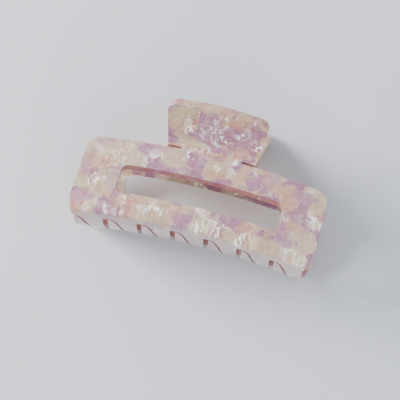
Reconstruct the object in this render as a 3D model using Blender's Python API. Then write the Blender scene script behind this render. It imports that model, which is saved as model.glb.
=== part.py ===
"""Rectangular claw clip: two bent acetate jaws on a sprung steel hinge.

The clip lies on its lower jaw. X runs along the hinge pin, +Y points from the teeth to the
thumb handles, and +Z is up. Each jaw is drawn as a flat blank in (x, s), where s is the
distance along the sheet from the rear edge of its frame, and is then bent to shape.
Positive s runs to the front, over the bend and down the toothed flange. Negative s runs
to the rear, round the neck and up the thumb handle.
"""

from math import asin, atan2, cos, hypot, pi, radians, sin, sqrt, tan

import bmesh
import bpy
from mathutils import Matrix, Vector
from mathutils.geometry import convex_hull_2d

# Acetate sheet and frame face
CLIP_LENGTH = 0.1000
SHEET = 0.0035
FACE_LENGTH = 0.0307
FACE_SLOPE = radians(24.0)
BOW = 0.0040
REAR_CORNER = 0.0050
FRONT_CORNER = 0.0040
EDGE_CHAMFER = 0.0005

# Window in the face
SIDE_RAIL = 0.0166
REAR_RAIL = 0.0117
FRONT_RAIL = 0.0058
WINDOW_CORNER = 0.0026

# Front bend and toothed flange
FRONT_BEND = 0.0024
CREASE_CORNER = 0.0012
FLANGE_CURVE = 0.0605
TEETH = 7
FLANGE_INSET = 0.00305
ROOT_LAND = 0.00147
TOOTH_GAP = 0.0020
SEAM_GAP = 0.0009
TIP_CORNER = 0.0009
SEAM_FLAT = 0.0010
SEAM_HANDLE = 0.0055

# Neck and thumb handle
WAIST_GAP = 0.0036
NECK_HALF = 0.0125
NECK_STRAIGHT = 0.0024
NECK_BEND = 0.00375
NOTCH = 0.0010
NOTCH_CORNER = 0.00045
HANDLE_SLOPE = radians(51.0)
HANDLE_TOP_HALF = 0.0211
HANDLE_FOOT_HALF = 0.0184
HANDLE_CORNER = 0.0040
HANDLE_CROWN = 0.0010

# Steel hinge
PIN_RADIUS = 0.0010
PIN_SET_FORWARD = 0.0016
PIN_CLEARANCE = 0.00030
PIN_HEAD_RADIUS = 0.0017
PIN_HEAD = 0.0006
STEEL = 0.0008
EAR_RADIUS = 0.0022
EAR_FOOT = 0.0050
EAR_CLEARANCE = 0.00035
LOWER_EAR_INSIDE = 0.0058
BRACKET_FRONT = 0.0066
BRACKET_REAR = 0.0014
BRACKET_CORNER = 0.0008
SEAT_GAP = 0.00030

# Rivets that hold a bracket to its jaw
RIVET_RADIUS = 0.0008
RIVET_HEAD_RADIUS = 0.0014
RIVET_HEAD = 0.0004
RIVET_DEPTH = 0.0022
RIVET_CLEARANCE = 0.00030
RIVET_SPREAD = 0.0036
RIVET_FRONT = 0.0042

# Torsion spring round the pin
WIRE_RADIUS = 0.00040
COIL_RADIUS = 0.0020
COIL_TURNS = 8
COIL_END_CLEARANCE = 0.00050
LEG_LENGTH = 0.0080
LEG_GAP = 0.00035

# Fineness of the curved parts
BOW_STEPS = 12
BEND_STEPS = 2
CREASE_STEPS = 5
NECK_STEPS = 6
FLANGE_STEPS = 6
CORNER_STEPS = 4
SEAM_STEPS = 11
ROUND_STEPS = 24
COIL_STEPS = 12
WIRE_STEPS = 6

FRONT_TURN_TOTAL = pi / 2 + FACE_SLOPE


def waist_center_height():
    """Height of the neck bend's centre, which holds the two jaws WAIST_GAP off the mid-plane."""
    return WAIST_GAP + NECK_BEND + SHEET / 2


def rear_edge_height():
    """Height of the sheet's middle layer at the rear edge of the face."""
    bend_start = waist_center_height() - NECK_BEND * cos(FACE_SLOPE)
    return bend_start + NECK_STRAIGHT * sin(FACE_SLOPE)


def flange_turn():
    """Angle of the flange's gentle arc, which ends upright on the mid-plane."""
    bend_top = rear_edge_height() + FACE_LENGTH * sin(FACE_SLOPE)
    return asin((bend_top - FRONT_BEND * cos(FACE_SLOPE)) / (FLANGE_CURVE - FRONT_BEND))


def front_segments():
    """Length and turn of each stretch of sheet from the rear edge to the mid-plane."""
    arc = flange_turn()
    bend = FRONT_TURN_TOTAL - arc
    return [(FACE_LENGTH, 0.0), (FRONT_BEND * bend, bend), (FLANGE_CURVE * arc, arc)]


def crease_size():
    """Half the front bend's turn, its crease's distance and half the angle the crease spans."""
    half = (FRONT_TURN_TOTAL - flange_turn()) / 2
    center = (FRONT_BEND + SHEET / 2 - CREASE_CORNER) / cos(half)
    span = atan2(CREASE_CORNER * sin(half), center + CREASE_CORNER * cos(half))
    return half, center, span


def crease_reach(bearing):
    """How far the squared outer side stands off the bend's round, at an angle from its middle."""
    half, center, span = crease_size()
    outer = FRONT_BEND + SHEET / 2
    if abs(bearing) < span:
        across = center * sin(bearing)
        return center * cos(bearing) + sqrt(CREASE_CORNER ** 2 - across ** 2) - outer
    return outer / cos(half - min(abs(bearing), half)) - outer


def handle_length():
    """Straight handle length that brings its tip level with the crease of the front bend."""
    bend_center = rear_edge_height() + FACE_LENGTH * sin(FACE_SLOPE) - FRONT_BEND * cos(FACE_SLOPE)
    half, center, _ = crease_size()
    highest = bend_center + center * cos(half - FACE_SLOPE) + CREASE_CORNER
    foot = waist_center_height() - NECK_BEND * cos(HANDLE_SLOPE)
    return (highest - foot - SHEET / 2 * cos(HANDLE_SLOPE)) / sin(HANDLE_SLOPE)


def rear_segments():
    """Length and turn of each stretch of sheet from the rear edge to the handle's tip."""
    turn = HANDLE_SLOPE + FACE_SLOPE
    return [(NECK_STRAIGHT, 0.0), (NECK_BEND * turn, turn), (handle_length(), 0.0)]


def walk(segments, distance, heading):
    """Follow straight and round segments, and return the end point and its heading."""
    y = z = 0.0
    for index, (length, turn) in enumerate(segments):
        last = index == len(segments) - 1
        step = distance if last else min(distance, length)
        part = turn * step / length
        if turn:
            radius = length / turn
            y += radius * (sin(heading + part) - sin(heading))
            z -= radius * (cos(heading + part) - cos(heading))
        else:
            y += step * cos(heading)
            z += step * sin(heading)
        heading += part
        distance -= step
        if distance <= 0.0:
            break
    return y, z, heading


def bow_at(x):
    """Rearward shift that curves the whole jaw in plan."""
    return BOW * (1.0 - (2.0 * x / CLIP_LENGTH) ** 2)


def bent(x, s, depth):
    """Bend a point of the flat blank; depth is positive towards the jaw's outer side."""
    if s >= 0.0:
        y, z, heading = walk(front_segments(), s, pi - FACE_SLOPE)
        normal = heading - pi / 2
        bearing = (s - FACE_LENGTH) / FRONT_BEND - crease_size()[0]
        if depth > 0.0:
            depth += crease_reach(bearing) * depth / (SHEET / 2)
    else:
        y, z, heading = walk(rear_segments(), -s, -FACE_SLOPE)
        normal = heading + pi / 2
    y += depth * cos(normal)
    z += depth * sin(normal)
    return Vector((x, y + bow_at(x), z + rear_edge_height()))


def mid_plane_distance():
    """Distance along the sheet from the rear edge to the mid-plane."""
    return sum(length for length, _ in front_segments())


def tooth_reach():
    """How far teeth and valleys reach from the mid-plane; ROOT_LAND stays above the valleys."""
    return mid_plane_distance() - FACE_LENGTH - FRONT_CORNER - ROOT_LAND


def pin_position():
    """Rearward position of the hinge pin, which lies on the mid-plane below the neck."""
    center = NECK_STRAIGHT * cos(FACE_SLOPE) + NECK_BEND * sin(FACE_SLOPE)
    return center + BOW - PIN_SET_FORWARD


def rounded_loop(corners):
    """Outline through (x, s, radius) corners, with arcs at those that have a radius."""
    points = []
    count = len(corners)
    for index, (x, s, radius) in enumerate(corners):
        here = Vector((x, s))
        if radius == 0.0:
            points.append(here)
            continue
        before = Vector(corners[index - 1][:2]) - here
        after = Vector(corners[(index + 1) % count][:2]) - here
        half = before.angle(after) / 2
        reach = radius / tan(half)
        middle = here + (before.normalized() + after.normalized()).normalized() * radius / sin(half)
        first = here + before.normalized() * reach - middle
        last = here + after.normalized() * reach - middle
        sweep = first.angle_signed(last)
        for step in range(CORNER_STEPS + 1):
            turned = first.copy()
            turned.rotate(Matrix.Rotation(-sweep * step / CORNER_STEPS, 2))
            points.append(middle + turned)
    return points


def seam_points(left_gap, right_gap, side):
    """Edge of one tooth along the seam, from its tip to the valley.

    The seam is an S-curve between two upright gaps, and side is half its clearance.
    Heights are measured up the flange from the mid-plane.
    """
    start = Vector((right_gap - TOOTH_GAP / 2 - SEAM_FLAT, -tooth_reach()))
    end = Vector((left_gap + TOOTH_GAP / 2 + SEAM_FLAT, tooth_reach()))
    pull = Vector((-SEAM_HANDLE, SEAM_HANDLE / 4))
    handles = (start, start + pull, end - pull, end)
    points = []
    for step in range(SEAM_STEPS + 1):
        t = step / SEAM_STEPS
        weights = ((1 - t) ** 3, 3 * t * (1 - t) ** 2, 3 * t ** 2 * (1 - t), t ** 3)
        slopes = (-3 * (1 - t) ** 2, 3 * (1 - t) * (1 - 3 * t), 3 * t * (2 - 3 * t), 3 * t ** 2)
        point = sum((w * h for w, h in zip(weights, handles)), Vector((0.0, 0.0)))
        tangent = sum((w * h for w, h in zip(slopes, handles)), Vector((0.0, 0.0))).normalized()
        points.append(point + Vector((tangent.y, -tangent.x)) * side)
    return points


def jaw_outline():
    """Flat outline of a jaw as (x, s) points, clockwise from the rear right corner."""
    level = mid_plane_distance()
    half = CLIP_LENGTH / 2
    flange_half = half - FLANGE_INSET
    pitch = (2 * flange_half + TOOTH_GAP) / TEETH
    gaps = [(i - TEETH / 2) * pitch for i in range(TEETH + 1)]
    bend = FACE_LENGTH
    corners = [(half, 0.0, REAR_CORNER), (half, bend - 0.2 * FRONT_CORNER, FRONT_CORNER)]
    corners.append((flange_half, bend + FRONT_CORNER, FRONT_CORNER))
    for index in range(TEETH - 1, -1, -1):
        edge = seam_points(gaps[index], gaps[index + 1], SEAM_GAP / 2)
        tip_x = gaps[index + 1] - TOOTH_GAP / 2
        corners.append((tip_x, level - edge[0].y, TIP_CORNER))
        corners += [(point.x, level - point.y, 0.0) for point in edge]
        valley_x = gaps[index] - TOOTH_GAP / 2 if index else -flange_half
        if index:
            corners.append((valley_x, level - edge[-1].y, TIP_CORNER))
        else:
            corners.append((valley_x, level - edge[-1].y, 0.0))
    corners.append((-flange_half, bend + FRONT_CORNER, FRONT_CORNER))
    corners += [(-half, bend - 0.2 * FRONT_CORNER, FRONT_CORNER), (-half, 0.0, REAR_CORNER)]
    tip = -sum(length for length, _ in rear_segments())
    handle = [(NECK_HALF, 0.0, NOTCH_CORNER), (NECK_HALF, -NOTCH, NOTCH_CORNER)]
    handle.append((HANDLE_FOOT_HALF, -NOTCH, NOTCH_CORNER))
    handle.append((HANDLE_TOP_HALF, tip + HANDLE_CROWN, HANDLE_CORNER))
    corners += [(-x, s, r) for x, s, r in handle]
    corners.append((0.0, tip, 0.0))
    corners += list(reversed(handle))
    return rounded_loop(corners)


def window_outline():
    """Flat outline of the window in a jaw's face."""
    side = CLIP_LENGTH / 2 - SIDE_RAIL
    front = FACE_LENGTH - FRONT_RAIL
    corners = [(side, REAR_RAIL), (side, front), (-side, front), (-side, REAR_RAIL)]
    return rounded_loop([(x, s, WINDOW_CORNER) for x, s in corners])


def slab(loops, low, high):
    """Closed flat solid between two heights, from an outline and any holes in it."""
    bm = bmesh.new()
    for loop in loops:
        verts = [bm.verts.new((x, s, low)) for x, s in loop]
        for index, vert in enumerate(verts):
            bm.edges.new((verts[index - 1], vert))
    bmesh.ops.triangle_fill(bm, use_beauty=True, use_dissolve=True, edges=bm.edges[:])
    grown = bmesh.ops.extrude_face_region(bm, geom=bm.faces[:])["geom"]
    raised = [item for item in grown if isinstance(item, bmesh.types.BMVert)]
    bmesh.ops.translate(bm, verts=raised, vec=(0.0, 0.0, high - low))
    bmesh.ops.recalc_face_normals(bm, faces=bm.faces)
    return bm


def cut_lines(bm, axis, positions):
    """Split every face where it crosses the given positions along an axis."""
    for position in positions:
        point = Vector((0.0, 0.0, 0.0))
        point[axis] = position
        normal = Vector((0.0, 0.0, 0.0))
        normal[axis] = 1.0
        geometry = bm.verts[:] + bm.edges[:] + bm.faces[:]
        bmesh.ops.bisect_plane(bm, geom=geometry, dist=1e-7, plane_co=point, plane_no=normal)


def chamfer_rims(bm, width):
    """Bevel the two sharp rims that the outline leaves round a slab."""
    rims = []
    for edge in bm.edges:
        flat = [abs(face.normal.z) > 0.9 for face in edge.link_faces]
        if len(flat) == 2 and flat[0] != flat[1]:
            rims.append(edge)
    bmesh.ops.bevel(bm, geom=rims, offset=width, segments=1, affect="EDGES", clamp_overlap=True)


def spread(start, end, steps):
    """Evenly spaced positions from start to end, both included."""
    return [start + (end - start) * i / steps for i in range(steps + 1)]


def jaw_mesh():
    """Mesh of the upper jaw, with the hinge pin at the origin."""
    bm = slab([jaw_outline(), window_outline()], -SHEET / 2, SHEET / 2)
    chamfer_rims(bm, EDGE_CHAMFER)
    face, front_bend, flange = [length for length, _ in front_segments()]
    straight, neck_bend, _ = [length for length, _ in rear_segments()]
    flange_start = face + front_bend
    half, _, span = crease_size()
    crease_start = face + FRONT_BEND * (half - span)
    crease_end = flange_start - FRONT_BEND * (half - span)
    cuts = spread(face, crease_start, BEND_STEPS)
    cuts += spread(crease_start, crease_end, CREASE_STEPS)[1:-1]
    cuts += spread(crease_end, flange_start, BEND_STEPS)
    cuts += spread(flange_start, flange_start + flange + tooth_reach(), FLANGE_STEPS)[1:]
    cuts += spread(-straight, -straight - neck_bend, NECK_STEPS)
    cut_lines(bm, 1, cuts)
    half = CLIP_LENGTH / 2
    cut_lines(bm, 0, spread(-half, half, BOW_STEPS)[1:-1])
    bmesh.ops.triangulate(bm, faces=bm.faces[:])
    pin = Vector((0.0, pin_position(), 0.0))
    for vert in bm.verts:
        vert.co = bent(*vert.co) - pin
    bmesh.ops.recalc_face_normals(bm, faces=bm.faces)
    return bm


def material(name, color, roughness, metallic):
    """Principled material of one sub-part."""
    shade = bpy.data.materials.new(name)
    shade.use_nodes = True
    surface = shade.node_tree.nodes["Principled BSDF"]
    surface.inputs["Base Color"].default_value = (*color, 1.0)
    surface.inputs["Roughness"].default_value = roughness
    surface.inputs["Metallic"].default_value = metallic
    return shade


def add_part(name, bm, parent, shade, matrix=None):
    """Turn a bmesh into a named object under a parent, with its origin on the hinge axis."""
    mesh = bpy.data.meshes.new(name)
    if matrix is not None:
        bmesh.ops.transform(bm, matrix=matrix, verts=bm.verts)
    bm.to_mesh(mesh)
    bm.free()
    mesh.materials.append(shade)
    mesh.shade_smooth()
    mesh.set_sharp_from_angle(angle=radians(35.0))
    part = bpy.data.objects.new(name, mesh)
    part.parent = parent
    bpy.context.scene.collection.objects.link(part)
    return part


def add_empty(name, parent, location):
    """Plain empty that carries other objects."""
    empty = bpy.data.objects.new(name, None)
    empty.parent = parent
    empty.location = location
    bpy.context.scene.collection.objects.link(empty)
    return empty


def circle(radius, center=(0.0, 0.0), steps=ROUND_STEPS):
    """Points of a full circle."""
    turns = [2 * pi * i / steps for i in range(steps)]
    return [Vector((center[0] + radius * cos(a), center[1] + radius * sin(a))) for a in turns]


def lathe(profile, steps=ROUND_STEPS):
    """Closed turned solid about X from (x, radius) points whose ends lie on the axis."""
    bm = bmesh.new()
    rings = []
    for x, radius in profile:
        if radius == 0.0:
            rings.append([bm.verts.new((x, 0.0, 0.0))])
        else:
            rings.append([bm.verts.new((x, *point)) for point in circle(radius, steps=steps)])
    for ring, following in zip(rings, rings[1:]):
        for index in range(steps):
            near = ring if len(ring) == 1 else [ring[index - 1], ring[index]]
            far = following if len(following) == 1 else [following[index], following[index - 1]]
            bm.faces.new(near + far)
    bmesh.ops.recalc_face_normals(bm, faces=bm.faces)
    return bm


def inner_face_frame():
    """Matrix of the jaw's inner face at the rear edge of the frame, relative to the pin.

    Its X is the clip's X, its Y runs up the face to the rear, and its Z points into the
    sheet, so negative Z is the side where the hinge bracket lies.
    """
    origin = bent(0.0, 0.0, -SHEET / 2) - Vector((0.0, pin_position(), 0.0))
    rear = Vector((0.0, cos(FACE_SLOPE), -sin(FACE_SLOPE)))
    outward = Vector((0.0, sin(FACE_SLOPE), cos(FACE_SLOPE)))
    axes = Matrix((Vector((1.0, 0.0, 0.0)), rear, outward)).transposed()
    return Matrix.Translation(origin) @ axes.to_4x4()


def ear_mesh(inside):
    """Bracket ear: the hull of a disc round the pin and its foot line in the plate."""
    frame = inner_face_frame()
    middle = -SEAT_GAP - STEEL / 2
    feet = [frame @ Vector((0.0, y, middle)) for y in (-EAR_FOOT, BRACKET_REAR - STEEL / 4)]
    points = circle(EAR_RADIUS) + [Vector((foot.y, foot.z)) for foot in feet]
    hull = [points[index] for index in convex_hull_2d(points)]
    hole = circle(PIN_RADIUS + PIN_CLEARANCE)
    bm = slab([hull, hole], inside, inside + STEEL)
    side_on = Matrix(((0, 0, 1, 0), (1, 0, 0, 0), (0, 1, 0, 0), (0, 0, 0, 1)))
    bmesh.ops.transform(bm, matrix=side_on, verts=bm.verts)
    return bm


def plate_mesh(half_width):
    """Bracket plate with its two rivet holes, in the inner face's frame."""
    corners = [(half_width, BRACKET_REAR), (half_width, -BRACKET_FRONT)]
    corners += [(-x, y) for x, y in reversed(corners)]
    loops = [rounded_loop([(x, y, BRACKET_CORNER) for x, y in corners])]
    for x in (-RIVET_SPREAD, RIVET_SPREAD):
        loops.append(circle(RIVET_RADIUS + RIVET_CLEARANCE, (x, -RIVET_FRONT), ROUND_STEPS // 2))
    return slab(loops, -SEAT_GAP - STEEL, -SEAT_GAP)


def rivet_frame(x):
    """Matrix that lays a turned piece's X axis into the sheet at one rivet."""
    into_sheet = Matrix.Rotation(-pi / 2, 4, "Y")
    return inner_face_frame() @ Matrix.Translation((x, -RIVET_FRONT, 0.0)) @ into_sheet


def rivet_profile():
    """Profile of a rivet: a low domed head below the plate and a shank in the sheet."""
    seat = -2 * SEAT_GAP - STEEL
    crown = seat - RIVET_HEAD
    tip = RIVET_DEPTH - RIVET_CLEARANCE
    profile = [(crown, 0.0), (crown, RIVET_HEAD_RADIUS * 0.6)]
    profile += [(seat - RIVET_HEAD * 0.4, RIVET_HEAD_RADIUS), (seat, RIVET_HEAD_RADIUS)]
    profile += [(seat, RIVET_RADIUS), (tip - RIVET_RADIUS / 2, RIVET_RADIUS)]
    return profile + [(tip, RIVET_RADIUS / 2), (tip, 0.0)]


def pocket_profile():
    """Profile of the blind hole that a rivet's shank fills."""
    radius = RIVET_RADIUS + RIVET_CLEARANCE
    return [(-SEAT_GAP, 0.0), (-SEAT_GAP, radius), (RIVET_DEPTH, radius), (RIVET_DEPTH, 0.0)]


def pin_profile():
    """Profile of the hinge pin with its two peened heads."""
    seat = upper_ear_inside() + STEEL + EAR_CLEARANCE
    end = seat + PIN_HEAD
    side = [(seat, PIN_RADIUS), (seat, PIN_HEAD_RADIUS)]
    side += [(end - PIN_HEAD / 3, PIN_HEAD_RADIUS), (end, PIN_HEAD_RADIUS * 0.7), (end, 0.0)]
    return [(-x, radius) for x, radius in reversed(side)] + side


def upper_ear_inside():
    """Distance of an upper ear's inner side from the middle, just outside the lower ear."""
    return LOWER_EAR_INSIDE + STEEL + EAR_CLEARANCE


def leg_angle():
    """Slope at which a spring leg's end comes LEG_GAP from the handle's inner face."""
    center = Vector((PIN_SET_FORWARD, waist_center_height()))
    outward = Vector((sin(HANDLE_SLOPE), -cos(HANDLE_SLOPE)))
    target = center.dot(outward) + NECK_BEND + SHEET / 2 + WIRE_RADIUS + LEG_GAP
    reach = hypot(COIL_RADIUS, LEG_LENGTH)
    return HANDLE_SLOPE - asin(target / reach) + atan2(COIL_RADIUS, LEG_LENGTH)


def spring_path():
    """Centre line of the spring: upper leg, coil round the pin, lower leg."""
    slope = leg_angle()
    half = LOWER_EAR_INSIDE - COIL_END_CLEARANCE - WIRE_RADIUS
    start = slope - pi / 2
    sweep = -2 * pi * COIL_TURNS - 2 * start
    steps = COIL_STEPS * COIL_TURNS
    coil = []
    for x, angle in zip(spread(half, -half, steps), spread(start, start + sweep, steps)):
        coil.append(Vector((x, COIL_RADIUS * cos(angle), COIL_RADIUS * sin(angle))))
    leg = Vector((0.0, cos(slope), sin(slope))) * LEG_LENGTH
    lower_leg = Vector((0.0, leg.y, -leg.z))
    return [coil[0] + leg, coil[0] + leg / 2] + coil + [coil[-1] + lower_leg / 2, coil[-1] + lower_leg]


def wire_mesh(path):
    """Closed round wire along a path, with its rings kept from twisting."""
    bm = bmesh.new()
    rings = []
    side = Vector((1.0, 0.0, 0.0))
    for index, point in enumerate(path):
        ahead = path[min(index + 1, len(path) - 1)]
        behind = path[max(index - 1, 0)]
        along = (ahead - behind).normalized()
        side = (side - along * side.dot(along)).normalized()
        up = along.cross(side)
        ring = [point + side * offset.x + up * offset.y for offset in circle(WIRE_RADIUS, steps=WIRE_STEPS)]
        rings.append([bm.verts.new(co) for co in ring])
    for ring, following in zip(rings, rings[1:]):
        for i in range(WIRE_STEPS):
            bm.faces.new((ring[i - 1], ring[i], following[i], following[i - 1]))
    bm.faces.new(rings[0])
    bm.faces.new(rings[-1])
    bmesh.ops.recalc_face_normals(bm, faces=bm.faces)
    return bm


def hide_tool(tool):
    """Keep a Boolean operand out of the finished model."""
    tool.hide_render = True
    tool.display_type = "WIRE"


def combine(part, tool, operation):
    """Add a Boolean modifier and hide its operand."""
    hide_tool(tool)
    modifier = part.modifiers.new(tool.name, "BOOLEAN")
    modifier.operation = operation
    modifier.solver = "EXACT"
    modifier.object = tool


def add_jaw(prefix, pivot, acetate):
    """Jaw with the blind holes for its rivets."""
    jaw = add_part(f"{prefix}_jaw", jaw_mesh(), pivot, acetate)
    for side, x in (("left", -RIVET_SPREAD), ("right", RIVET_SPREAD)):
        name = f"{prefix}_{side}_pocket"
        pocket = add_part(name, lathe(pocket_profile()), pivot, acetate, rivet_frame(x))
        combine(jaw, pocket, "DIFFERENCE")


def add_bracket(prefix, pivot, steel, inside):
    """Stamped bracket: a plate on the jaw's inner face with an ear at each end."""
    plate = plate_mesh(inside + STEEL * 0.8)
    bracket = add_part(f"{prefix}_hinge_bracket", plate, pivot, steel, inner_face_frame())
    for side, start in (("left", -inside - STEEL), ("right", inside)):
        ear = add_part(f"{prefix}_{side}_ear", ear_mesh(start), pivot, steel)
        combine(bracket, ear, "UNION")


def add_rivets(prefix, pivot, steel):
    """Two rivets that hold the bracket to the jaw."""
    for side, x in (("left", -RIVET_SPREAD), ("right", RIVET_SPREAD)):
        add_part(f"{prefix}_rivet_{side}", lathe(rivet_profile()), pivot, steel, rivet_frame(x))


def add_half(prefix, pivot, acetate, steel, ear_inside):
    """One jaw with its bracket and rivets, in its pivot's frame."""
    add_jaw(prefix, pivot, acetate)
    add_bracket(prefix, pivot, steel, ear_inside)
    add_rivets(prefix, pivot, steel)


def resting_offset(jaw):
    """Pin position that puts the bottom centre of the clip's box at the origin."""
    rears = [vert.co.y for vert in jaw.data.vertices]
    top = max(vert.co.z for vert in jaw.data.vertices)
    return Vector((0.0, -(min(rears) + max(rears)) / 2, top))


def build():
    """Build the whole clip, closed and lying on its lower jaw."""
    for old in list(bpy.data.objects):
        bpy.data.objects.remove(old)
    acetate = material("pearl_acetate", (0.78, 0.62, 0.58), 0.15, 0.0)
    steel = material("plated_steel", (0.72, 0.71, 0.69), 0.30, 1.0)
    spring_steel = material("spring_steel", (0.55, 0.54, 0.53), 0.35, 1.0)
    clip = add_empty("clip", None, (0.0, 0.0, 0.0))
    upper = add_empty("upper_pivot", clip, (0.0, 0.0, 0.0))
    lower = add_empty("lower_pivot", clip, (0.0, 0.0, 0.0))
    lower.rotation_euler = (0.0, pi, 0.0)
    add_half("upper", upper, acetate, steel, upper_ear_inside())
    add_half("lower", lower, acetate, steel, LOWER_EAR_INSIDE)
    add_part("hinge_pin", lathe(pin_profile()), lower, steel)
    add_part("torsion_spring", wire_mesh(spring_path()), clip, spring_steel)
    clip.location = resting_offset(bpy.data.objects["upper_jaw"])


build()
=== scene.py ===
"""Looks of a rectangular claw clip: two pearl acetate jaws on a sprung steel hinge.

Each jaw is drawn as a flat blank in (x, s), where s runs along the sheet from the rear edge
of its frame: positive to the front and down the toothed flange, negative round the neck and
up the thumb handle. The blank gets its rounded rims flat, and is then bent to shape.
"""

import logging
from dataclasses import dataclass, field
from enum import Enum
from math import asin, atan2, cos, hypot, pi, radians, sin, sqrt, tan

import bpy
from mathutils import Matrix, Vector


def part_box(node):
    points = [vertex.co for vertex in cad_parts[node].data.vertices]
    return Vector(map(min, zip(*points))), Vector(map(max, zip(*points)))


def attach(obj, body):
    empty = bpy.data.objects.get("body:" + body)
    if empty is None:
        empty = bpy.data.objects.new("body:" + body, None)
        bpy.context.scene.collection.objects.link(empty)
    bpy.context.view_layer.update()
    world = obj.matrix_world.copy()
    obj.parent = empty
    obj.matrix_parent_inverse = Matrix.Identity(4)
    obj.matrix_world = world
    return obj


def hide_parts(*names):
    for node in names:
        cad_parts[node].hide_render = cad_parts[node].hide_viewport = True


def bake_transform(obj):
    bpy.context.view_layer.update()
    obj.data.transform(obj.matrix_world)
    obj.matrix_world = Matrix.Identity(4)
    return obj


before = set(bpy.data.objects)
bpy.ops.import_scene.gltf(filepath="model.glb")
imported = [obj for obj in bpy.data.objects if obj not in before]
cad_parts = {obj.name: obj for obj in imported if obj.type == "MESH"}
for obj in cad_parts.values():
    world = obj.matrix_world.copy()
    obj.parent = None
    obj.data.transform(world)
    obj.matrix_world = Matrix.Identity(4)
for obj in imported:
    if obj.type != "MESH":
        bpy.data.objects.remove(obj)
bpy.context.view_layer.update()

log = logging.getLogger("claw_clip")
MM = 0.001
Colour = tuple[float, float, float]
BLACK: Colour = (0.0, 0.0, 0.0)


class Half(Enum):
    """The two halves of the clip, by the body that each rides on."""

    UPPER = "upper"
    LOWER = "lower"


def linear(red: int, green: int, blue: int) -> Colour:
    """Scene-linear colour of a display colour given from 0 to 255."""
    return tuple(((v / 255 + 0.055) / 1.055) ** 2.4 for v in (red, green, blue))


def deselect_all() -> None:
    """Leave object mode with nothing selected."""
    if bpy.context.object and bpy.context.object.mode != "OBJECT":
        bpy.ops.object.mode_set(mode="OBJECT")
    for item in bpy.context.selected_objects:
        item.select_set(False)


def pick(piece: bpy.types.Object) -> None:
    """Select one object alone and make it active."""
    deselect_all()
    piece.select_set(True)
    bpy.context.view_layer.objects.active = piece


def settle(piece: bpy.types.Object) -> None:
    """Apply an object's place, turn and scale to its mesh."""
    pick(piece)
    bpy.ops.object.transform_apply(location=True, rotation=True, scale=True)


def copy_of(piece: bpy.types.Object, name: str) -> bpy.types.Object:
    """Copy an object together with its mesh."""
    twin = piece.copy()
    twin.data = piece.data.copy()
    twin.name = twin.data.name = name
    bpy.context.scene.collection.objects.link(twin)
    return twin


class Graph:
    """Node graph of one material, with a single method that adds any node."""

    def __init__(self, name: str) -> None:
        """Start an empty material.

        Args:
            name: name of the material.
        """
        self.material = bpy.data.materials.new(name)
        self.material.use_nodes = True
        self.tree = self.material.node_tree
        self.tree.nodes.clear()

    def node(self, kind: str, settings: dict | None = None, out: int | str = 0,
             **inputs: object) -> "Wire":
        """Add a node, set it up and wire its sockets.

        Args:
            kind: node type without its ShaderNode prefix.
            settings: attributes of the node, and ramp stops under "stops".
            out: output that the returned wire starts from.
            inputs: socket values or wires, by socket name with _ for spaces, or as i0, i1.

        Returns:
            The wire of the chosen output.
        """
        made = self.tree.nodes.new("ShaderNode" + kind)
        for key, value in (settings or {}).items():
            if key == "stops":
                self.set_stops(made.color_ramp, value)
            else:
                setattr(made, key, value)
        for key, value in inputs.items():
            index = int(key[1:]) if key[0] == "i" and key[1:].isdigit() else key.replace("_", " ")
            socket = made.inputs[index]
            if isinstance(value, Wire):
                self.tree.links.new(value.socket, socket)
            else:
                socket.default_value = value
        return Wire(self, made.outputs[out])

    def set_stops(self, ramp: bpy.types.ColorRamp, stops: list[tuple[float, Colour]]) -> None:
        """Give a ramp its (position, colour) stops."""
        while len(ramp.elements) < len(stops):
            ramp.elements.new(1.0)
        for element, (position, colour) in zip(ramp.elements, stops):
            element.position = position
            element.color = (*colour, 1.0)

    def mix(self, factor: "Wire | float", first: "Wire | Colour",
            second: "Wire | Colour") -> "Wire":
        """Blend two colours by a factor."""
        first, second = [c if isinstance(c, Wire) else (*c, 1.0) for c in (first, second)]
        settings = {"data_type": "RGBA", "clamp_factor": True}
        return self.node("Mix", settings, 2, i0=factor, i6=first, i7=second)

    def vector_math(self, operation: str, out: int = 0, **inputs: object) -> "Wire":
        """Add a Vector Math node."""
        return self.node("VectorMath", {"operation": operation}, out, **inputs)

    def noise(self, place: "Wire", scale: float, detail: float = 2.0,
              distortion: float = 0.0, out: int = 0) -> "Wire":
        """Fractal noise at a place."""
        return self.node("TexNoise", None, out, Vector=place, Scale=scale, Detail=detail,
                         Distortion=distortion)

    def finish(self, normal: "Wire | None" = None, **inputs: object) -> bpy.types.Material:
        """Close the graph with a Principled shader and an output.

        Args:
            normal: wire of the bumped normal.
            inputs: sockets of the shader.

        Returns:
            The finished material.
        """
        if normal is not None:
            inputs["Normal"] = normal
        shader = self.node("BsdfPrincipled", None, 0, **inputs)
        self.node_output(shader)
        return self.material

    def node_output(self, shader: "Wire") -> None:
        """Wire a shader to the material's output."""
        output = self.tree.nodes.new("ShaderNodeOutputMaterial")
        self.tree.links.new(shader.socket, output.inputs["Surface"])


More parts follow.
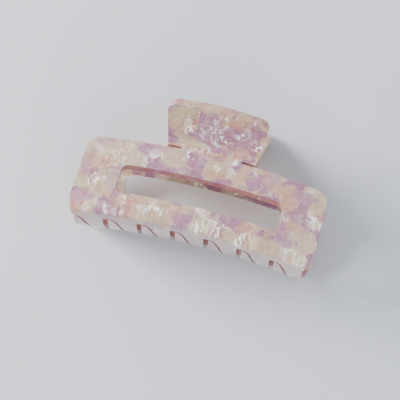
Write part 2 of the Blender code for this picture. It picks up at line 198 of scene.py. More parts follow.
@dataclass
class Wire:
    """A value in a node graph that adds its own Math nodes."""

    graph: Graph
    socket: bpy.types.NodeSocket

    def math(self, operation: str, *others: "Wire | float", clamp: bool = False) -> "Wire":
        """Combine this value with others through a Math node."""
        values = {f"i{i}": v for i, v in enumerate((self, *others))}
        return self.graph.node("Math", {"operation": operation, "use_clamp": clamp}, **values)

    def __add__(self, other: "Wire | float") -> "Wire":
        """Sum."""
        return self.math("ADD", other)

    def __radd__(self, other: float) -> "Wire":
        """Sum with the number first."""
        return self.math("ADD", other)

    def __sub__(self, other: "Wire | float") -> "Wire":
        """Difference."""
        return self.math("SUBTRACT", other)

    def __rsub__(self, other: float) -> "Wire":
        """Difference with the number first."""
        return (self * -1.0) + other

    def __mul__(self, other: "Wire | float") -> "Wire":
        """Product."""
        return self.math("MULTIPLY", other)

    def __rmul__(self, other: float) -> "Wire":
        """Product with the number first."""
        return self.math("MULTIPLY", other)

    def ramp(self, low: float, high: float) -> "Wire":
        """Smooth step from 0 at low to 1 at high."""
        return self.graph.node("MapRange", {"interpolation_type": "SMOOTHSTEP"}, Value=self,
                               From_Min=low, From_Max=high)


@dataclass(frozen=True)
class Patch:
    """A soft-edged patch of one colour, at a place on the flat blank in millimetres."""

    x: float
    s: float
    wide: float
    long: float
    colour: str
    strength: float = 0.8


@dataclass(frozen=True)
class PearlAcetate:
    """Polished acetate with marbled patches, thin streaks and crinkled pearl, whose flakes and
    folds carry painted highlights, painted shade and a painted glow.
    """

    name: str
    shift: float
    patches: tuple[Patch, ...] = ()
    cream: Colour = linear(202, 180, 162)
    beige: Colour = linear(197, 172, 136)
    lilac: Colour = linear(172, 122, 150)
    mauve: Colour = linear(156, 104, 138)
    peach: Colour = linear(200, 150, 122)
    orange: Colour = linear(206, 132, 84)
    rose: Colour = linear(182, 106, 104)
    pearl: Colour = linear(255, 252, 244)
    shade: Colour = linear(142, 112, 106)
    clear: Colour = linear(192, 168, 166)
    # Strength of the painted shade line along the front crease.
    crease: float = 0.0
    swirl_scale: float = 0.16
    swirl_reach: float = 9.0
    marble_scale: float = 0.16
    edge_scale: float = 0.38
    edge_reach: float = 1.6
    zone_scale: float = 0.10
    zone_loss: float = 0.55
    warp_reach: float = 3.4
    facet_scale: float = 0.42
    fold_scale: float = 0.85
    fold_bands: float = 11.0
    flake_scale: float = 0.62
    streak_share: float = 0.75
    # Share of the painted glints that is also emitted as a painted glow.
    glow_share: float = 0.22
    flange: tuple[float, float] = (33.0, 35.0)
    handle: tuple[float, float] = (-4.0, 3.0)

    def build(self) -> bpy.types.Material:
        """Build the material.

        Returns:
            The finished acetate material.
        """
        g = Graph(self.name)
        blank = g.node("Attribute", {"attribute_name": "blank"}, "Vector")
        rim = g.node("Attribute", {"attribute_name": "rim"}, "Fac")
        place = g.vector_math("ADD", i0=blank, i1=(self.shift, self.shift * 0.7, 0.0))
        flowing = self.stray(g, place, place, (self.swirl_scale, 3.0, self.swirl_reach))
        base, zone = self.dappled(g, blank, place, self.marbling(g, flowing))
        folds, facets, creases = self.crinkle(g, place)
        base = g.mix(self.streaks(g, flowing) * self.streak_share, base, self.orange)
        base = self.clouds(g, place, base)
        # Painted highlight: the brightest flakes are mixed towards pearl white.
        base = g.mix(facets.ramp(0.70, 0.95) * (zone * 0.35 + 0.10), base, self.pearl)
        # Painted shade: the darkest flakes are mixed towards the shade colour.
        base = g.mix(facets.ramp(0.38, 0.10) * (zone * 0.30 + 0.14), base, self.shade)
        # Painted highlight along the cell edges between the flakes.
        base = g.mix(creases * (zone * 0.30 + 0.03), base, self.pearl)
        # Painted highlight: bright folds and flakes are mixed to pearl white where they glint.
        glints = folds * zone
        base = g.mix(glints, base, self.pearl)
        along = g.node("SeparateXYZ", None, 1, i0=blank)
        base = g.mix(along.ramp(*self.flange) * 0.6, base, self.clear)
        base = self.edge_tint(g, base, along, rim)
        haze = g.noise(place, 1.6, 3.0)
        height = haze * 0.25 + (zone * facets) * 0.9 + g.noise(place, 0.22, 1.0) * 1.2
        bumped = g.node("Bump", None, Strength=0.14, Distance=0.0004, Height=height)
        gloss = 0.09 + haze * 0.08 + rim * 0.08
        # Painted glow: the same glints also emit pearl white light.
        light = g.mix(glints * self.glow_share, BLACK, self.pearl)
        return g.finish(bumped, Base_Color=base, Roughness=gloss, IOR=1.49,
                        Coat_Weight=0.4, Coat_Roughness=0.04, Subsurface_Weight=0.20,
                        Subsurface_Scale=0.0012, Subsurface_Radius=(1.0, 0.7, 0.6),
                        Emission_Color=light, Emission_Strength=1.0)

    def stray(self, g: Graph, place: Wire, around: Wire,
              shape: tuple[float, float, float]) -> Wire:
        """Move a place about by noise.

        Args:
            g: the material's graph.
            place: the place that is moved.
            around: the place that the noise is read at.
            shape: scale and detail of the noise, and how far it moves the place.

        Returns:
            The moved place.
        """
        scale, detail, reach = shape
        noise = g.noise(around, scale, detail, out=1)
        offset = g.vector_math("MULTIPLY_ADD", i0=noise, i1=(reach,) * 3, i2=(-reach / 2,) * 3)
        return g.vector_math("ADD", i0=place, i1=offset)

    def dappled(self, g: Graph, blank: Wire, place: Wire, base: Wire) -> tuple[Wire, Wire]:
        """Lay the placed patches over the marbling.

        Args:
            g: the material's graph.
            blank: place on the flat blank.
            place: the same place, moved by this sheet's shift.
            base: colour below the patches.

        Returns:
            The patched colour, and the zone where pearl glints, which takes the painted glints,
            flake highlights and flake shade.
        """
        ragged = self.stray(g, blank, place, (self.edge_scale, 1.5, self.edge_reach))
        # Zone that takes the painted glints, flake highlights and flake shade.
        zone = g.noise(place, self.zone_scale, 2.0).ramp(0.52, 0.66)
        for patch in self.patches:
            mask = self.spot(g, ragged, patch)
            # A glint patch adds no colour of its own: it widens the zone of painted highlights.
            if patch.colour == "glint":
                zone = (zone + mask * patch.strength).math("MINIMUM", 1.0)
                continue
            base = g.mix(mask * patch.strength, base, getattr(self, patch.colour))
            zone = zone * (1.0 - mask * self.zone_loss)
        return base, zone

    def clouds(self, g: Graph, place: Wire, base: Wire) -> Wire:
        """Faint pale and mauve clouds over the whole sheet."""
        cloud = g.noise(place, 0.9, 4.0)
        base = g.mix(cloud.ramp(0.50, 0.72) * 0.16, base, self.pearl)
        return g.mix(cloud.ramp(0.50, 0.30) * 0.22, base, self.mauve)

    def marbling(self, g: Graph, place: Wire) -> Wire:
        """Large patches of cream, beige, lilac and peach that run into one another."""
        cell = g.node("TexVoronoi", {"feature": "SMOOTH_F1"}, "Color", Vector=place,
                      Scale=self.marble_scale, Smoothness=0.35)
        pick_one = g.node("SeparateColor", None, 0, i0=cell)
        stops = [(0.0, self.lilac), (0.30, self.mauve), (0.42, self.cream), (0.55, self.beige),
                 (0.68, self.cream), (0.80, self.peach), (1.0, self.lilac)]
        return g.node("ValToRGB", {"stops": stops}, Fac=pick_one)

    def spot(self, g: Graph, place: Wire, patch: Patch) -> Wire:
        """Mask of one patch, 1 inside and 0 outside."""
        centre = (-patch.x, -patch.s, 0.0)
        moved = g.vector_math("ADD", i0=place, i1=centre)
        scaled = g.vector_math("MULTIPLY", i0=moved, i1=(1 / patch.wide, 1 / patch.long, 0.0))
        return g.vector_math("LENGTH", 1, i0=scaled).ramp(1.25, 0.70)

    def crinkle(self, g: Graph, place: Wire) -> tuple[Wire, Wire, Wire]:
        """Masks of bright folds, glassy facets and the creases between them, as in mother-of-pearl,
        that place painted glints, highlights and shade.
        """
        warp = g.noise(place, 0.55, 3.0, out=1)
        moved = g.vector_math("MULTIPLY_ADD", i0=warp, i1=(self.warp_reach,) * 3, i2=place)
        stretched = g.vector_math("MULTIPLY", i0=moved, i1=(1.0, 0.62, 0.0))
        cells = g.node("TexVoronoi", {"feature": "F1"}, "Color", Vector=stretched,
                       Scale=self.facet_scale)
        facets = g.node("SeparateColor", None, 1, i0=cells)
        gap = g.node("TexVoronoi", {"feature": "DISTANCE_TO_EDGE"}, "Distance",
                     Vector=stretched, Scale=self.facet_scale)
        creases = gap.ramp(0.075, 0.02)
        bright = g.noise(stretched, self.fold_scale, 1.0, 1.8)
        lines = (bright * self.fold_bands).math("SINE").ramp(0.72, 0.93) * facets.ramp(0.35, 0.55)
        flakes = g.noise(stretched, self.flake_scale, 1.5, 0.8).ramp(0.565, 0.60)
        return lines.math("MAXIMUM", flakes), facets, creases

    def streaks(self, g: Graph, place: Wire) -> Wire:
        """Thin wandering streaks of orange between the patches."""
        drawn = g.vector_math("MULTIPLY", i0=place, i1=(1.0, 0.55, 1.0))
        wander = g.noise(drawn, 0.22, 2.0, 0.6)
        band = (wander - 0.5).math("ABSOLUTE").ramp(0.020, 0.003)
        return band * g.noise(place, 0.09, 1.0).ramp(0.44, 0.56)

    def edge_tint(self, g: Graph, base: Wire, along: Wire, rim: Wire) -> Wire:
        """Rose light gathered in the cut edges, fainter and warmer on the thumb handle."""
        foot, root = self.handle
        base = g.mix(rim * along.ramp(foot, root) * 0.62, base, self.rose)
        # Painted shade: a dark rose line along the front crease, where the sheet turns under.
        fold = along.ramp(31.5, 33.0) * along.ramp(36.5, 35.0)
        base = g.mix(fold * self.crease, base, self.rose)
        return g.mix(rim * along.ramp(root, foot) * 0.35, base, self.peach)


@dataclass(frozen=True)
class BrightSteel:
    """Plated or drawn steel with fine drawing lines and light wear."""

    name: str
    colour: Colour
    worn: Colour
    roughness: float
    lines: float

    def build(self) -> bpy.types.Material:
        """Build the material.

        Returns:
            The finished steel material.
        """
        g = Graph(self.name)
        place = g.node("TexCoord", None, "Object")
        drawn = g.vector_math("MULTIPLY", i0=place, i1=(self.lines * 0.06, self.lines, self.lines))
        scratches = g.noise(drawn, 1.0, 4.0)
        stain = g.noise(place, 420.0, 3.0)
        base = g.mix(stain.ramp(0.45, 0.70) * 0.6, self.colour, self.worn)
        gloss = self.roughness + scratches * 0.14 + stain * 0.08
        bumped = g.node("Bump", None, Strength=0.2, Distance=0.00005, Height=scratches)
        return g.finish(bumped, Base_Color=base, Roughness=gloss, Metallic=1.0)


@dataclass(frozen=True)
class TableTop:
    """Matt pale table top with a very faint mottle and a painted warm glow under the clip."""

    colour: Colour = linear(213, 218, 226)
    shade: Colour = linear(208, 213, 222)
    # Colour of the painted glow under the clip.
    glow: Colour = (0.185, 0.143, 0.105)
    glow_half_length: float = 0.052
    glow_half_width: float = 0.026

    def build(self) -> bpy.types.Material:
        """Build the material, with a painted glow that stands for the warm light that the acetate
        lets through below it.
        """
        g = Graph("pale_table")
        place = g.node("TexCoord", None, "Object")
        mottle = g.noise(place, 14.0, 3.0)
        base = g.mix(mottle, self.colour, self.shade)
        reach = (1 / self.glow_half_length, 1 / self.glow_half_width, 0.0)
        spread = g.vector_math("MULTIPLY", i0=place, i1=reach)
        # Painted pool of light: a warm emitted glow under the clip, fading out past its outline.
        under = g.vector_math("LENGTH", 1, i0=spread).ramp(1.05, 0.55)
        return g.finish(None, Base_Color=base, Roughness=0.62 + mottle * 0.08,
                        Emission_Color=g.mix(under, BLACK, self.glow),
                        Emission_Strength=1.0)


@dataclass
class BentSheet:
    """Sizes of a jaw's blank and the way that it is bent."""

    length: float = 0.1000
    sheet: float = 0.0035
    face: float = 0.0307
    face_slope: float = radians(24.0)
    bow: float = 0.0040
    front_bend: float = 0.0024
    crease_corner: float = 0.0012
    flange_curve: float = 0.0605
    waist_gap: float = 0.0036
    neck_straight: float = 0.0024
    neck_bend: float = 0.00375
    handle_slope: float = radians(51.0)
    pin_set_forward: float = 0.0016

    def __post_init__(self) -> None:
        """Work out the stretches of sheet from the sizes."""
        waist = self.waist_gap + self.neck_bend + self.sheet / 2
        tilt = self.face_slope
        self.waist_centre = waist
        self.rear_height = waist - self.neck_bend * cos(tilt) + self.neck_straight * sin(tilt)
        bend_centre = self.rear_height + self.face * sin(tilt) - self.front_bend * cos(tilt)
        arc = asin(bend_centre / (self.flange_curve - self.front_bend))
        bend = pi / 2 + tilt - arc
        self.front = [(self.face, 0.0), (self.front_bend * bend, bend),
                      (self.flange_curve * arc, arc)]
        self.half_bend = bend / 2
        outer = self.front_bend + self.sheet / 2 - self.crease_corner
        self.crease = outer / cos(self.half_bend)
        self.crease_span = atan2(self.crease_corner * sin(self.half_bend),
                                 self.crease + self.crease_corner * cos(self.half_bend))
        highest = bend_centre + self.crease * cos(self.half_bend - tilt) + self.crease_corner
        foot = waist - self.neck_bend * cos(self.handle_slope)
        handle = (highest - foot - self.sheet / 2 * cos(self.handle_slope)) / sin(self.handle_slope)
        neck = self.handle_slope + tilt
        self.rear = [(self.neck_straight, 0.0), (self.neck_bend * neck, neck), (handle, 0.0)]
        self.level = sum(length for length, _ in self.front)
        self.tip = -sum(length for length, _ in self.rear)

    def walk(self, segments: list[tuple[float, float]], distance: float,
             heading: float) -> tuple[float, float, float]:
        """Follow straight and round segments of the sheet.

        Args:
            segments: length and turn of each stretch.
            distance: how far to go.
            heading: direction at the start.

        Returns:
            The end point and the heading there.
        """
        y = z = 0.0
        for index, (length, turn) in enumerate(segments):
            last = index == len(segments) - 1
            step = distance if last else min(distance, length)
            part = turn * step / length
            if turn:
                radius = length / turn
                y += radius * (sin(heading + part) - sin(heading))
                z -= radius * (cos(heading + part) - cos(heading))
            else:
                y += step * cos(heading)
                z += step * sin(heading)
            heading += part
            distance -= step
            if distance <= 0.0:
                break
        return y, z, heading

    def square(self, s: float) -> tuple[float, float]:
        """How the front bend's outer side stands off its round to meet in a crisp crease.

        Args:
            s: distance along the sheet.

        Returns:
            The extra reach outwards and the turn of the surface normal.
        """
        bearing = (s - self.face) / self.front_bend - self.half_bend
        outer = self.front_bend + self.sheet / 2
        if abs(bearing) >= self.half_bend:
            return 0.0, 0.0
        if abs(bearing) < self.crease_span:
            across = self.crease * sin(bearing)
            reach = self.crease * cos(bearing) + sqrt(self.crease_corner ** 2 - across ** 2)
            return reach - outer, asin(reach * sin(bearing) / self.crease_corner) - bearing
        turned = self.half_bend if bearing > 0.0 else -self.half_bend
        return outer / cos(turned - bearing) - outer, turned - bearing

    def bend(self, flat: Vector, normal: Vector) -> tuple[Vector, Vector]:
        """Bend one point of the blank and the surface normal there.

        Args:
            flat: x, s and the depth towards the outer side.
            normal: surface normal on the flat blank.

        Returns:
            The bent point, relative to the rear edge's middle, and its normal.
        """
        x, s, depth = flat
        if s >= 0.0:
            y, z, heading = self.walk(self.front, s, pi - self.face_slope)
            out, along = heading - pi / 2, heading
            if depth > 0.0:
                extra, turned = self.square(s)
                share = depth / (self.sheet / 2)
                depth += extra * share
                y += depth * cos(out)
                z += depth * sin(out)
                depth = 0.0
                out, along = out + turned * share, along + turned * share
        else:
            y, z, heading = self.walk(self.rear, -s, -self.face_slope)
            out, along = heading + pi / 2, heading + pi
        rise = self.bow * (1.0 - (2.0 * x / self.length) ** 2)
        y += depth * cos(out) + rise
        z += depth * sin(out) + self.rear_height
        normal_y = normal.y * cos(along) + normal.z * cos(out)
        normal_z = normal.y * sin(along) + normal.z * sin(out)
        lean = -8.0 * self.bow * x / self.length ** 2
        return Vector((x, y, z)), Vector((normal.x - lean * normal_y, normal_y, normal_z))

    def pin_y(self) -> float:
        """Rearward place of the hinge pin from the rear edge."""
        centre = self.neck_straight * cos(self.face_slope) + self.neck_bend * sin(self.face_slope)
        return centre + self.bow - self.pin_set_forward


@dataclass
class Jaw:
    """Frame, toothed flange and thumb handle cut from one sheet of acetate."""

    sheet: BentSheet = field(default_factory=BentSheet)
    rear_corner: float = 0.0050
    front_corner: float = 0.0040
    side_rail: float = 0.0166
    rear_rail: float = 0.0117
    front_rail: float = 0.0058
    window_corner: float = 0.0026
    teeth: int = 7
    flange_inset: float = 0.00305
    tooth_reach: float = 0.0165
    tooth_gap: float = 0.0020
    seam_gap: float = 0.0009
    tip_corner: float = 0.0008
    seam_flat: float = 0.0010
    seam_handle: float = 0.0055
    neck_half: float = 0.0125
    notch: float = 0.0010
    notch_corner: float = 0.00045
    handle_top_half: float = 0.0211
    handle_foot_half: float = 0.0184
    handle_corner: float = 0.0040
    handle_crown: float = 0.0010
    rim_radius: float = 0.0004
    corner_steps: int = 8
    seam_steps: int = 20
    rim_steps: int = 4
    bend_cuts: int = 4
    crease_cuts: int = 10
    flange_cuts: int = 20
    neck_cuts: int = 14
    bow_cuts: int = 40
    shoulder: float = 0.2

    def rounded(self, corners: list[tuple[float, float, float]]) -> list[Vector]:
        """Outline through corners, with an arc at each that has a radius."""
        points = []
        for index, (x, s, radius) in enumerate(corners):
            here = Vector((x, s))
            if radius == 0.0:
                points.append(here)
                continue
            before = Vector(corners[index - 1][:2]) - here
            after = Vector(corners[(index + 1) % len(corners)][:2]) - here
            half = before.angle(after) / 2
            reach = radius / tan(half)
            inward = (before.normalized() + after.normalized()).normalized()
            middle = here + inward * radius / sin(half)
            first = here + before.normalized() * reach - middle
            last = here + after.normalized() * reach - middle
            sweep = first.angle_signed(last)
            for step in range(self.corner_steps + 1):
                turn = Matrix.Rotation(-sweep * step / self.corner_steps, 2)
                points.append(middle + turn @ first)
        return points

    def seam(self, left: float, right: float) -> list[Vector]:
        """S-curve edge of one tooth, from its tip to the valley beside it."""
        start = Vector((right - self.tooth_gap / 2 - self.seam_flat, -self.tooth_reach))
        end = Vector((left + self.tooth_gap / 2 + self.seam_flat, self.tooth_reach))
        pull = Vector((-self.seam_handle, self.seam_handle / 4))
        handles = (start, start + pull, end - pull, end)
        points = []
        for step in range(self.seam_steps + 1):
            t = step / self.seam_steps
            u = 1 - t
            weights = (u ** 3, 3 * t * u ** 2, 3 * t ** 2 * u, t ** 3)
            slopes = (-3 * u ** 2, 3 * u * (1 - 3 * t), 3 * t * (2 - 3 * t), 3 * t ** 2)
            point = sum((w * h for w, h in zip(weights, handles)), Vector((0.0, 0.0)))
            along = sum((w * h for w, h in zip(slopes, handles)), Vector((0.0, 0.0))).normalized()
            points.append(point + Vector((along.y, -along.x)) * self.seam_gap / 2)
        return points

    def outline(self) -> list[Vector]:
        """Flat outline of the jaw, from the rear right corner round by the teeth."""
        half = self.sheet.length / 2
        flange_half = half - self.flange_inset
        pitch = (2 * flange_half + self.tooth_gap) / self.teeth
        gaps = [(i - self.teeth / 2) * pitch for i in range(self.teeth + 1)]
        bend, corner, level = self.sheet.face, self.front_corner, self.sheet.level
        corners = [(half, 0.0, self.rear_corner), (half, bend - self.shoulder * corner, corner),
                   (flange_half, bend + corner, corner)]
        for index in range(self.teeth - 1, -1, -1):
            edge = self.seam(gaps[index], gaps[index + 1])
            corners.append((gaps[index + 1] - self.tooth_gap / 2, level - edge[0].y,
                            self.tip_corner))
            corners += [(point.x, level - point.y, 0.0) for point in edge]
            valley = gaps[index] - self.tooth_gap / 2 if index else -flange_half
            corners.append((valley, level - edge[-1].y, self.tip_corner if index else 0.0))
        corners += [(-flange_half, bend + corner, corner),
                    (-half, bend - self.shoulder * corner, corner), (-half, 0.0, self.rear_corner)]
        tip, notch = self.sheet.tip, self.notch_corner
        handle = [(self.neck_half, 0.0, notch), (self.neck_half, -self.notch, notch),
                  (self.handle_foot_half, -self.notch, notch),
                  (self.handle_top_half, tip + self.handle_crown, self.handle_corner)]
        corners += [(-x, s, r) for x, s, r in handle]
        corners.append((0.0, tip, 0.0))
        corners += list(reversed(handle))
        return self.rounded(corners)

    def window(self) -> list[Vector]:
        """Flat outline of the window in the face."""
        side = self.sheet.length / 2 - self.side_rail
        front = self.sheet.face - self.front_rail
        corners = [(side, self.rear_rail), (side, front), (-side, front), (-side, self.rear_rail)]
        return self.rounded([(x, s, self.window_corner) for x, s in corners])

    def blank(self) -> bpy.types.Object:
        """Flat blank: outline and window filled, drawn up to full thickness, rims rounded."""
        verts, edges = [], []
        for loop in (self.outline(), self.window()):
            first = len(verts)
            verts += [(point.x, point.y, -self.sheet.sheet / 2) for point in loop]
            edges += [(first + i, first + (i + 1) % len(loop)) for i in range(len(loop))]
        mesh = bpy.data.meshes.new("jaw_blank")
        mesh.from_pydata(verts, edges, [])
        blank = bpy.data.objects.new("jaw_blank", mesh)
        bpy.context.scene.collection.objects.link(blank)
        pick(blank)
        bpy.ops.object.mode_set(mode="EDIT")
        bpy.ops.mesh.select_mode(type="EDGE")
        bpy.ops.mesh.select_all(action="SELECT")
        bpy.ops.mesh.fill(use_beauty=True)
        bpy.ops.mesh.select_all(action="SELECT")
        rise = (0.0, 0.0, self.sheet.sheet)
        bpy.ops.mesh.extrude_region_move(TRANSFORM_OT_translate={"value": rise})
        bpy.ops.mesh.select_all(action="SELECT")
        bpy.ops.mesh.normals_make_consistent(inside=False)
        bpy.ops.mesh.select_all(action="DESELECT")
        bpy.ops.mesh.edges_select_sharp(sharpness=radians(80.0))
        bpy.ops.mesh.bevel(offset=self.rim_radius, segments=self.rim_steps, profile=0.5,
                           affect="EDGES", clamp_overlap=True)
        bpy.ops.object.mode_set(mode="OBJECT")
        return blank

    def flip(self, piece: bpy.types.Object) -> None:
        """Turn every face of a piece over."""
        pick(piece)
        bpy.ops.object.mode_set(mode="EDIT")
        bpy.ops.mesh.select_all(action="SELECT")
        bpy.ops.mesh.flip_normals()
        bpy.ops.object.mode_set(mode="OBJECT")

    def score(self, blank: bpy.types.Object) -> None:
        """Cut the flat faces into strips where the sheet will bend."""
        face, bend, _ = [length for length, _ in self.sheet.front]
        straight, neck, _ = [length for length, _ in self.sheet.rear]
        flange = self.sheet.level + self.tooth_reach
        first, last = [face + self.sheet.front_bend * (self.sheet.half_bend + side)
                       for side in (-self.sheet.crease_span, self.sheet.crease_span)]
        lines = self.spread(face, first, self.bend_cuts)
        lines += self.spread(first, last, self.crease_cuts)[1:-1]
        lines += self.spread(last, face + bend, self.bend_cuts)
        lines += self.spread(face + bend, flange, self.flange_cuts)[1:]
        lines += self.spread(-straight, -straight - neck, self.neck_cuts)
        half = self.sheet.length / 2
        across = self.spread(-half, half, self.bow_cuts)[1:-1]
        pick(blank)
        bpy.ops.object.mode_set(mode="EDIT")
        for places, normal in ((across, (1.0, 0.0, 0.0)), (lines, (0.0, 1.0, 0.0))):
            for place in places:
                bpy.ops.mesh.select_all(action="SELECT")
                bpy.ops.mesh.bisect(plane_co=tuple(place * n for n in normal), plane_no=normal,
                                    threshold=1e-7)
        bpy.ops.mesh.select_all(action="SELECT")
        bpy.ops.mesh.quads_convert_to_tris(quad_method="BEAUTY", ngon_method="BEAUTY")
        bpy.ops.object.mode_set(mode="OBJECT")

    def spread(self, start: float, end: float, steps: int) -> list[float]:
        """Evenly spaced places from start to end, both included."""
        return [start + (end - start) * i / steps for i in range(steps + 1)]

    def bend(self, blank: bpy.types.Object, pin: Vector) -> None:
        """Bend the blank into an upper jaw, with true normals, blank places and rim shares.

        Args:
            blank: flat blank, scored.
            pin: middle of the hinge pin.
        """
        mesh = blank.data
        wall = min(abs(vert.co.z) for vert in mesh.vertices)
        rim = self.sheet.sheet / 2 - wall
        shift = pin - Vector((0.0, self.sheet.pin_y(), 0.0))
        normals, places, rims = [], [], []
        for vert, old in zip(mesh.vertices, [v.vector.copy() for v in mesh.vertex_normals]):
            flat = vert.co.copy()
            rise = min(max((abs(flat.z) - wall) / rim, 0.0), 1.0)
            side = Vector((old.x, old.y))
            if side.length > 1e-6:
                side.normalize()
            side *= sqrt(1.0 - rise * rise)
            normal = Vector((side.x, side.y, rise if flat.z > 0 else -rise))
            bent, turned = self.sheet.bend(flat, normal)
            vert.co = bent + shift
            normals.append(turned.normalized())
            places += list(flat / MM)
            rims.append(1.0 - rise)
        self.flip(blank)
        mesh.attributes.new("blank", "FLOAT_VECTOR", "POINT").data.foreach_set("vector", places)
        mesh.attributes.new("rim", "FLOAT", "POINT").data.foreach_set("value", rims)
        mesh.shade_smooth()
        mesh.normals_split_custom_set_from_vertices(normals)

    def build(self, finishes: dict[Half, PearlAcetate], pin: Vector) -> list[bpy.types.Object]:
        """Model one jaw, copy it turned half round, and dress both.

        Args:
            finishes: acetate of each half.
            pin: middle of the hinge pin.

        Returns:
            The two finished jaws.
        """
        upper = self.blank()
        self.score(upper)
        self.bend(upper, pin)
        upper.name = upper.data.name = "upper_jaw_acetate"
        lower = copy_of(upper, "lower_jaw_acetate")
        half_turn = Matrix.Translation(pin) @ Matrix.Rotation(pi, 4, "Y")
        lower.matrix_world = half_turn @ Matrix.Translation(-pin)
        settle(lower)
        for half, piece in ((Half.UPPER, upper), (Half.LOWER, lower)):
            piece.data.materials.clear()
            piece.data.materials.append(finishes[half].build())
            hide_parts(f"{half.value}_jaw")
            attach(piece, half.value)
        return [upper, lower]


@dataclass
class Spring:
    """Torsion spring wound round the pin, with a leg against each handle."""

    wire: float = 0.00040
    coil: float = 0.0020
    turns: int = 8
    half: float = 0.0049
    leg: float = 0.0080
    leg_gap: float = 0.00035
    steps: int = 28
    leg_steps: int = 8

    def slope(self, sheet: BentSheet) -> float:
        """Slope at which a leg's end comes close to the handle's inner face."""
        centre = Vector((sheet.pin_set_forward, sheet.waist_centre))
        outward = Vector((sin(sheet.handle_slope), -cos(sheet.handle_slope)))
        target = centre.dot(outward) + sheet.neck_bend + sheet.sheet / 2 + self.wire + self.leg_gap
        reach = hypot(self.coil, self.leg)
        return sheet.handle_slope - asin(target / reach) + atan2(self.coil, self.leg)

    def path(self, sheet: BentSheet) -> list[Vector]:
        """Centre line: upper leg, coil round the pin, lower leg."""
        slope = self.slope(sheet)
        start = slope - pi / 2
        sweep = -2 * pi * self.turns - 2 * start
        count = self.steps * self.turns
        points = []
        for i in range(count + 1):
            angle = start + sweep * i / count
            x = self.half - 2 * self.half * i / count
            points.append(Vector((x, self.coil * cos(angle), self.coil * sin(angle))))
        upper = Vector((0.0, cos(slope), sin(slope))) * self.leg
        lower = Vector((0.0, upper.y, -upper.z))
        shares = [step / self.leg_steps for step in range(self.leg_steps, 0, -1)]
        head = [points[0] + upper * share for share in shares]
        foot = [points[-1] + lower * share for share in reversed(shares)]
        return head + points + foot

    def build(self, sheet: BentSheet, finish: BrightSteel, pin: Vector) -> bpy.types.Object:
        """Sweep the wire along its path and dress it.

        Args:
            sheet: the bent sheet that the legs press on.
            finish: steel of the wire.
            pin: middle of the hinge pin.

        Returns:
            The finished spring.
        """
        drawn = bpy.data.curves.new("torsion_spring_wire", "CURVE")
        drawn.dimensions = "3D"
        path = self.path(sheet)
        spline = drawn.splines.new("POLY")
        spline.points.add(len(path) - 1)
        for point, place in zip(spline.points, path):
            point.co = (*(place + pin), 1.0)
        drawn.bevel_depth = self.wire
        drawn.bevel_resolution = 3
        drawn.use_fill_caps = True
        spring = bpy.data.objects.new("torsion_spring_wire", drawn)
        bpy.context.scene.collection.objects.link(spring)
        pick(spring)
        bpy.ops.object.convert(target="MESH")
        spring = bpy.context.object
        bpy.ops.object.mode_set(mode="EDIT")
        bpy.ops.mesh.select_all(action="SELECT")
        bpy.ops.mesh.remove_doubles(threshold=1e-6)
        bpy.ops.mesh.normals_make_consistent(inside=False)
        bpy.ops.object.mode_set(mode="OBJECT")
        bpy.ops.object.shade_smooth_by_angle(angle=radians(40.0))
        spring.data.materials.clear()
        spring.data.materials.append(finish.build())
        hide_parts("torsion_spring")
        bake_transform(spring)
        return spring


@dataclass
class Hinge:
    """Stamped brackets, rivets and the pin, which keep the model's own shapes."""

    nodes: tuple[str, ...] = ("upper_hinge_bracket", "lower_hinge_bracket", "hinge_pin",
                              "upper_rivet_left", "upper_rivet_right", "lower_rivet_left",
                              "lower_rivet_right")

    def dress(self, finish: BrightSteel) -> None:
        """Give the steel pieces their plating."""
        plating = finish.build()
        for name in self.nodes:
            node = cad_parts[name]
            if not node.material_slots:
                node.data.materials.append(plating)
            for slot in node.material_slots:
                slot.material = plating
            log.info("%s dressed in %s", name, plating.name)


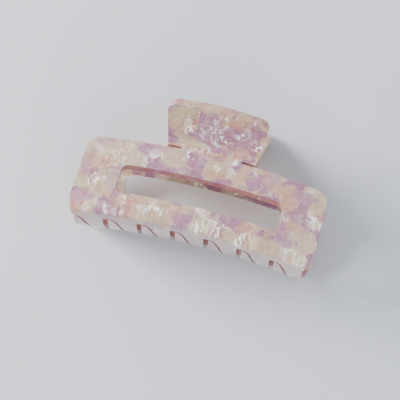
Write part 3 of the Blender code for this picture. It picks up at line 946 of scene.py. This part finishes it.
@dataclass
class Studio:
    """Table top, soft lights and the camera."""

    place: Vector = field(default_factory=lambda: Vector((0.05606, -0.07095, 0.75003)))
    aim: Vector = field(default_factory=lambda: Vector((-0.00056, -0.00739, 0.0222)))
    turn: float = radians(14.02)
    lens: float = 161.7
    table: float = 3.0
    sensor: float = 36.0
    daylight: Colour = (0.93, 0.96, 1.0)
    sunlight: Colour = (1.0, 0.98, 0.95)
    sky: float = 0.89
    window_place: Vector = field(default_factory=lambda: Vector((-1.05, 0.14, 0.56)))
    window_size: float = 0.45
    window_power: float = 29.0
    fill_place: Vector = field(default_factory=lambda: Vector((0.30, -0.80, 0.90)))
    fill_size: float = 0.80
    fill_power: float = 4.0

    def add_table(self) -> bpy.types.Object:
        """Add the table top that the clip lies on."""
        deselect_all()
        bpy.ops.mesh.primitive_plane_add(size=self.table, location=(0.0, 0.0, 0.0))
        table = bpy.context.object
        table.name = "table_top"
        table.data.materials.append(TableTop().build())
        return table

    def add_light(self, name: str, place: Vector, size: float, power: float,
                  colour: Colour) -> None:
        """Add one square soft light that faces the clip.

        Args:
            name: name of the light.
            place: where it stands.
            size: side of the square.
            power: in watts.
            colour: colour of its light.
        """
        lamp = bpy.data.lights.new(name, "AREA")
        lamp.size = size
        lamp.energy = power
        lamp.color = colour
        light = bpy.data.objects.new(name, lamp)
        light.location = place
        light.rotation_euler = (self.aim - place).to_track_quat("-Z", "Y").to_euler()
        bpy.context.scene.collection.objects.link(light)

    def add_lights(self) -> None:
        """Add the window light, its weak fill and an even sky."""
        self.add_light("window_light", self.window_place, self.window_size,
                       self.window_power, self.sunlight)
        self.add_light("fill_light", self.fill_place, self.fill_size,
                       self.fill_power, self.daylight)
        world = bpy.data.worlds.new("studio_sky")
        world.use_nodes = True
        background = world.node_tree.nodes["Background"]
        background.inputs["Color"].default_value = (*self.daylight, 1.0)
        background.inputs["Strength"].default_value = self.sky
        bpy.context.scene.world = world

    def add_camera(self) -> None:
        """Add the camera, nearly overhead, turned so that the clip runs down to the right."""
        ahead = (self.aim - self.place).normalized()
        level = Vector((cos(self.turn), sin(self.turn), 0.0))
        right = (level - ahead * level.dot(ahead)).normalized()
        axes = Matrix((right, right.cross(ahead), -ahead)).transposed().to_4x4()
        view = bpy.data.cameras.new("main_camera")
        view.lens = self.lens
        view.sensor_width = self.sensor
        view.clip_start = 0.01
        camera = bpy.data.objects.new("main_camera", view)
        camera.matrix_world = Matrix.Translation(self.place) @ axes
        bpy.context.scene.collection.objects.link(camera)
        bpy.context.scene.camera = camera


# Patches of colour on the upper jaw; those of kind glint place painted highlights.
UPPER_PATCHES: tuple[Patch, ...] = (
    Patch(41, 15, 4.5, 4.0, "mauve"),
    Patch(40, 5.5, 7.0, 2.6, "lilac"),
    Patch(36, 23.5, 3.0, 4.0, "lilac"),
    Patch(46.5, 22.5, 3.0, 3.6, "cream"),
    Patch(40, 20.0, 4.5, 1.6, "peach"),
    Patch(45.5, 9.0, 2.6, 3.0, "beige"),
    Patch(31, 6.0, 5.0, 3.4, "peach", 0.6),
    Patch(24, 5.0, 3.5, 4.0, "lilac", 0.6),
    Patch(22, 29.0, 4.5, 3.0, "peach"),
    Patch(31.5, 31.5, 5.0, 2.8, "beige"),
    Patch(42.5, 31.8, 5.0, 1.8, "glint", 1.0),
    Patch(38, 28.0, 3.0, 2.0, "lilac"),
    Patch(-45, 28.5, 4.8, 2.6, "lilac"),
    Patch(-47.5, 13.0, 2.6, 6.0, "lilac", 0.6),
    Patch(-36, 5.5, 7.5, 4.5, "cream"),
    Patch(-40.5, 10.0, 2.4, 2.4, "orange", 0.45),
    Patch(-44.0, 19.5, 2.4, 4.2, "glint", 0.9),
    Patch(-39.5, 20.0, 2.2, 1.6, "glint", 0.9),
    Patch(-22, 2.5, 6.5, 2.6, "lilac", 0.7),
    Patch(-23, 6.0, 5.0, 3.4, "glint", 0.7),
    Patch(-15, 5.0, 4.6, 4.6, "cream", 0.9),
    Patch(-9.0, 10.0, 4.0, 2.2, "lilac", 0.7),
    Patch(4, 8.5, 6.0, 2.2, "peach", 0.7),
    Patch(8, 10.8, 4.0, 1.5, "mauve", 0.6),
    Patch(3.5, 4.8, 1.4, 1.6, "glint", 1.0),
    Patch(10.5, 2.5, 1.6, 3.6, "glint", 1.0),
    Patch(14.8, 4.0, 2.0, 4.5, "peach", 0.8),
    Patch(-16.5, 30.0, 6.5, 2.2, "glint", 0.9),
    Patch(-29, 28.5, 4.5, 3.0, "peach", 0.5),
    Patch(-33, 32.0, 5.5, 1.0, "glint", 0.7),
    Patch(-4.5, 30.8, 4.0, 2.0, "lilac", 0.8),
    Patch(10, 30.0, 5.5, 3.0, "glint", 0.7),
    Patch(0, 29.0, 3.0, 2.4, "lilac", 0.5),
    Patch(-15, -17.5, 5.5, 7.0, "beige", 0.9),
    Patch(-9.0, -19.5, 0.5, 4.5, "orange", 0.8),
    Patch(-2.5, -17.0, 5.5, 7.0, "lilac", 0.9),
    Patch(8.0, -21.5, 6.0, 2.6, "peach", 0.7),
    Patch(5.5, -8.0, 4.5, 6.5, "mauve", 0.75),
    Patch(14.5, -15.5, 3.6, 5.5, "lilac", 0.6),
    Patch(10.8, -15.0, 2.6, 1.8, "glint", 1.0),
    Patch(1.5, -13.0, 1.6, 1.2, "glint", 0.8),
    Patch(5.5, -10.2, 2.4, 1.0, "glint", 0.7),
    Patch(-13.0, -9.0, 2.0, 3.4, "glint", 0.7),
    Patch(-9.0, -4.5, 6.0, 3.5, "beige", 0.8),
    Patch(12.0, -6.0, 4.0, 4.0, "peach", 0.7),
    Patch(9.5, -3.0, 0.7, 4.0, "orange", 0.7),
)


def main() -> None:
    """Build the clip and its studio, and report each piece."""
    logging.basicConfig(level=logging.INFO, format="%(name)s: %(message)s")
    low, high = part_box("hinge_pin")
    pin = (low + high) / 2
    finishes = {
        Half.UPPER: PearlAcetate("upper_pearl_acetate", 13.0, UPPER_PATCHES),
        # Only the lower jaw gets the painted shade line along its crease.
        Half.LOWER: PearlAcetate("lower_pearl_acetate", 71.0, crease=0.75),
    }
    jaw = Jaw()
    for piece in jaw.build(finishes, pin):
        log.info("%s: %d faces", piece.name, len(piece.data.polygons))
    drawn_steel = BrightSteel("spring_steel_wire", (0.55, 0.54, 0.52), (0.40, 0.38, 0.36),
                              0.26, 9000.0)
    spring = Spring().build(jaw.sheet, drawn_steel, pin)
    log.info("%s: %d faces", spring.name, len(spring.data.polygons))
    Hinge().dress(BrightSteel("nickel_plated_steel", (0.72, 0.71, 0.69), (0.58, 0.55, 0.50),
                              0.16, 2600.0))
    studio = Studio()
    log.info("%s added", studio.add_table().name)
    studio.add_lights()
    studio.add_camera()


if __name__ == "__main__":
    main()
